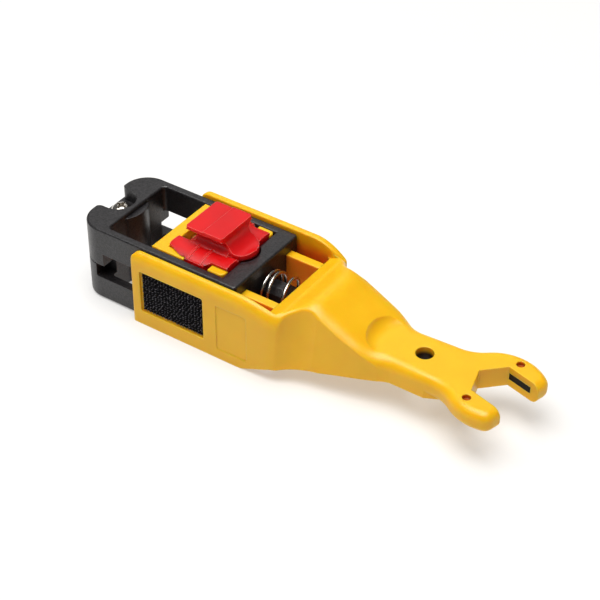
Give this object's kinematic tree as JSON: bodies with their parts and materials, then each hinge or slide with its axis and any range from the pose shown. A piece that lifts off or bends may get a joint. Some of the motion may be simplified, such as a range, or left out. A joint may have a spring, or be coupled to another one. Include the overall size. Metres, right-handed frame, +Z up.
{
  "type": "coaxial cable stripper",
  "caption": "Hand stripper for coaxial cable: a sprung black carriage slides in a yellow handle and presses the cable on blades, with a red lift-out retainer and an open wrench end.",
  "frame": {"origin": "bottom centre of the bounding box, on the plane that the arms rest on", "axes": "+X along the tool from the sliding carriage to the wrench end, +Z up from the arms' underside to the red grip, +Y across the tool"},
  "size_m": [0.1092, 0.028, 0.0252],
  "materials": {
    "yellow_plastic": "satin warm-yellow moulding",
    "black_plastic": "fine-grained satin black moulding",
    "red_plastic": "glossy red moulding",
    "spring_steel": "bright drawn wire",
    "screw_steel": "bright plated steel",
    "blade_steel": "ground steel",
    "insert_steel": "blackened steel",
    "bristle_cloth": "stiff black bristle",
    "pin_brass": "plain brass"
  },
  "bodies": {
    "frame": {"handle": "yellow_plastic", "cassette_holder": "yellow_plastic", "guide_pin": "pin_brass", "core_blade": "blade_steel", "jacket_blade": "blade_steel", "return_spring": "spring_steel", "grip_pad_near": "bristle_cloth", "grip_pad_far": "bristle_cloth", "jaw_insert_near": "insert_steel", "jaw_insert_far": "insert_steel"},
    "carriage": {"carriage_upper": "black_plastic", "carriage_lower": "black_plastic", "front_screw": "screw_steel", "rear_screw_left": "screw_steel", "rear_screw_right": "screw_steel"},
    "retainer": {"blade_retainer": "red_plastic"}
  },
  "joints": [
    {"name": "carriage_slide", "type": "slide", "parent": "frame", "child": "carriage", "axis": [1, 0, 0], "range_m": [0, 0.005], "stiffness_N_per_m": 900, "springref_m": -0.002, "deforming": ["return_spring"]},
    {"name": "retainer_lift", "type": "slide", "parent": "frame", "child": "retainer", "axis": [0, 0, 1], "range_m": [0, 0.015]}
  ]
}
